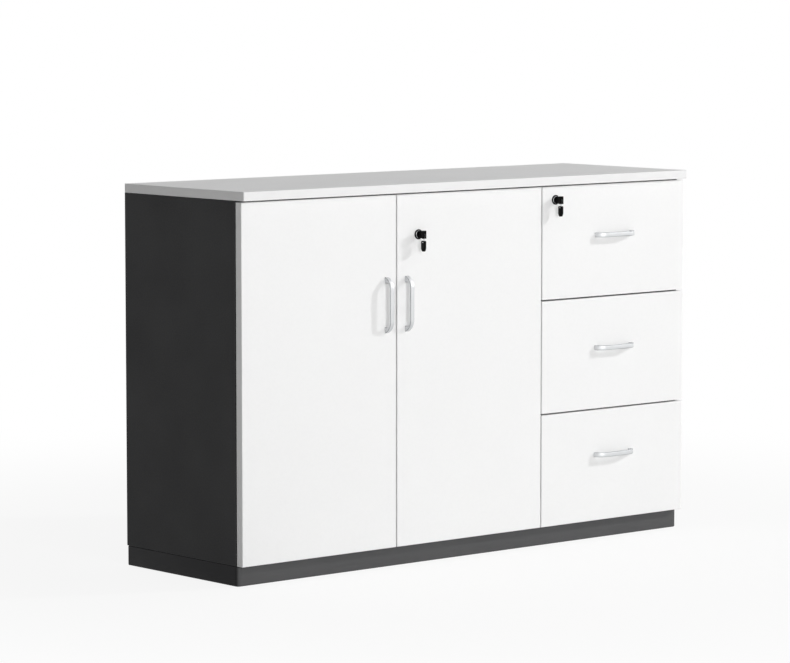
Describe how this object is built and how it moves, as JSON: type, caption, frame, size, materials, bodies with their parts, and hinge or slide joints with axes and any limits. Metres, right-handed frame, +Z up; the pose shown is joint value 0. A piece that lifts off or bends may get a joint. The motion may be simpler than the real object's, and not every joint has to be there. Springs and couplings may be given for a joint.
{
  "type": "office side cabinet",
  "caption": "Low office side cabinet with hinged lockable doors beside a stack of lockable drawers, white fronts and top on a charcoal body with a recessed base.",
  "frame": {"origin": "on the floor, under the middle of the whole outline including handles", "axes": "+X to the right seen from the front, -Y out of the doors and drawers, +Z up"},
  "size_m": [1.2, 0.393, 0.766],
  "materials": {
    "white_laminate": "white melamine laminate, satin, banded edges",
    "charcoal_laminate": "charcoal melamine laminate, matt",
    "charcoal_steel": "charcoal powder coat, fine texture",
    "white_steel": "light grey powder coat",
    "satin_aluminium": "satin anodised",
    "black_zinc": "black lacquered die-cast zinc",
    "black_plastic": "moulded black plastic",
    "zinc_steel": "bright zinc plated",
    "nickel_steel": "nickel plated",
    "clear_rubber": "translucent soft buffer"
  },
  "bodies": {
    "carcass": {"top_panel": "white_laminate", "left_side_panel": "charcoal_laminate", "right_side_panel": "charcoal_laminate", "door_partition": "charcoal_laminate", "drawer_partition": "charcoal_laminate", "bottom_panel": "charcoal_laminate", "back_panel": "charcoal_laminate", "shelves": "charcoal_laminate", "shelf_pins": "nickel_steel", "base_frame": "charcoal_steel", "carcass_screws": "zinc_steel", "levelling_feet": "black_plastic", "hinge_plates": "nickel_steel", "hinge_arms": "nickel_steel", "fitting_screws": "zinc_steel", "slide_cabinet_members": "zinc_steel", "door_lock_strike": "zinc_steel", "lock_bar_guides": "black_plastic"},
    "left_links": {"left_hinge_links": "nickel_steel"},
    "left_inner_links": {"left_hinge_inner_links": "nickel_steel"},
    "left_door": {"left_door_panel": "white_laminate", "left_door_handle": "satin_aluminium", "left_door_screws": "zinc_steel", "left_door_buffers": "clear_rubber", "left_hinge_cups": "nickel_steel"},
    "right_links": {"right_hinge_links": "nickel_steel"},
    "right_inner_links": {"right_hinge_inner_links": "nickel_steel"},
    "right_door": {"right_door_panel": "white_laminate", "right_door_handle": "satin_aluminium", "right_door_screws": "zinc_steel", "right_door_buffers": "clear_rubber", "right_hinge_cups": "nickel_steel", "door_lock_body": "black_zinc"},
    "door_lock": {"door_lock_core": "black_zinc", "door_lock_cam": "zinc_steel"},
    "door_key": {"door_key_bow": "black_plastic"},
    "drawer_1": {"drawer_1_front": "white_laminate", "drawer_1_box": "white_steel", "drawer_1_handle": "satin_aluminium", "drawer_1_screws": "zinc_steel", "drawer_1_side_fittings": "zinc_steel", "drawer_lock_body": "black_zinc"},
    "drawer_1_slides": {"drawer_1_slide_middles": "zinc_steel"},
    "drawer_lock": {"drawer_lock_core": "black_zinc", "drawer_lock_cam": "zinc_steel"},
    "drawer_key": {"drawer_key_bow": "black_plastic"},
    "lock_bar": {"lock_bar": "zinc_steel", "lock_bar_lugs": "zinc_steel"},
    "drawer_2": {"drawer_2_front": "white_laminate", "drawer_2_box": "white_steel", "drawer_2_handle": "satin_aluminium", "drawer_2_screws": "zinc_steel", "drawer_2_side_fittings": "zinc_steel"},
    "drawer_2_slides": {"drawer_2_slide_middles": "zinc_steel"},
    "drawer_3": {"drawer_3_front": "white_laminate", "drawer_3_box": "white_steel", "drawer_3_handle": "satin_aluminium", "drawer_3_screws": "zinc_steel", "drawer_3_side_fittings": "zinc_steel"},
    "drawer_3_slides": {"drawer_3_slide_middles": "zinc_steel"}
  },
  "joints": [
    {"name": "left_link_swing", "type": "hinge", "parent": "carcass", "child": "left_links", "pos_m": [-0.5703, -0.1475, 0.3925], "axis": [0, 0, 1], "range_deg": [0, 21.85]},
    {"name": "left_door_swing", "type": "hinge", "parent": "left_links", "child": "left_door", "pos_m": [-0.5897, -0.1654, 0.3925], "axis": [0, 0, -1], "range_deg": [0, 116.85]},
    {"name": "left_inner_link_swing", "type": "hinge", "parent": "carcass", "child": "left_inner_links", "pos_m": [-0.562, -0.1475, 0.3925], "axis": [0, 0, 1], "range_deg": [0, 11.69]},
    {"name": "right_link_swing", "type": "hinge", "parent": "carcass", "child": "right_links", "pos_m": [0.1583, -0.1475, 0.3925], "axis": [0, 0, -1], "range_deg": [0, 20.7]},
    {"name": "right_door_swing", "type": "hinge", "parent": "right_links", "child": "right_door", "pos_m": [0.1777, -0.1654, 0.3925], "axis": [0, 0, 1], "range_deg": [0, 110.7]},
    {"name": "right_inner_link_swing", "type": "hinge", "parent": "carcass", "child": "right_inner_links", "pos_m": [0.15, -0.1475, 0.3925], "axis": [0, 0, -1], "range_deg": [0, 11.07]},
    {"name": "door_lock_turn", "type": "hinge", "parent": "right_door", "child": "door_lock", "pos_m": [-0.149, -0.167, 0.664], "axis": [0, 1, 0], "range_deg": [0, 90]},
    {"name": "door_key_fold", "type": "hinge", "parent": "door_lock", "child": "door_key", "pos_m": [-0.149, -0.1935, 0.664], "axis": [-1, 0, 0], "range_deg": [0, 90]},
    {"name": "drawer_lock_turn", "type": "hinge", "parent": "drawer_1", "child": "drawer_lock", "pos_m": [0.226, -0.167, 0.7175], "axis": [0, 1, 0], "range_deg": [0, 90]},
    {"name": "drawer_key_fold", "type": "hinge", "parent": "drawer_lock", "child": "drawer_key", "pos_m": [0.226, -0.1935, 0.7175], "axis": [-1, 0, 0], "range_deg": [0, 90]},
    {"name": "lock_bar_lift", "type": "slide", "parent": "carcass", "child": "lock_bar", "axis": [0, 0, 1], "range_m": [0, 0.03465]},
    {"name": "drawer_1_slide", "type": "slide", "parent": "carcass", "child": "drawer_1", "axis": [0, -1, 0], "range_m": [0, 0.3]},
    {"name": "drawer_1_middle_slide", "type": "slide", "parent": "carcass", "child": "drawer_1_slides", "axis": [0, -1, 0], "range_m": [0, 0.15]},
    {"name": "drawer_2_slide", "type": "slide", "parent": "carcass", "child": "drawer_2", "axis": [0, -1, 0], "range_m": [0, 0.3]},
    {"name": "drawer_2_middle_slide", "type": "slide", "parent": "carcass", "child": "drawer_2_slides", "axis": [0, -1, 0], "range_m": [0, 0.15]},
    {"name": "drawer_3_slide", "type": "slide", "parent": "carcass", "child": "drawer_3", "axis": [0, -1, 0], "range_m": [0, 0.3]},
    {"name": "drawer_3_middle_slide", "type": "slide", "parent": "carcass", "child": "drawer_3_slides", "axis": [0, -1, 0], "range_m": [0, 0.15]}
  ],
  "couplings": [
    {"joint": "left_link_swing", "follows": "left_door_swing", "ratio": 0.18699},
    {"joint": "left_inner_link_swing", "follows": "left_door_swing", "ratio": 0.1},
    {"joint": "right_link_swing", "follows": "right_door_swing", "ratio": 0.18699},
    {"joint": "right_inner_link_swing", "follows": "right_door_swing", "ratio": 0.1},
    {"joint": "drawer_lock_turn", "follows": "lock_bar_lift", "rad_per_m": 45.336},
    {"joint": "drawer_1_middle_slide", "follows": "drawer_1_slide", "ratio": 0.5},
    {"joint": "drawer_2_middle_slide", "follows": "drawer_2_slide", "ratio": 0.5},
    {"joint": "drawer_3_middle_slide", "follows": "drawer_3_slide", "ratio": 0.5}
  ]
}
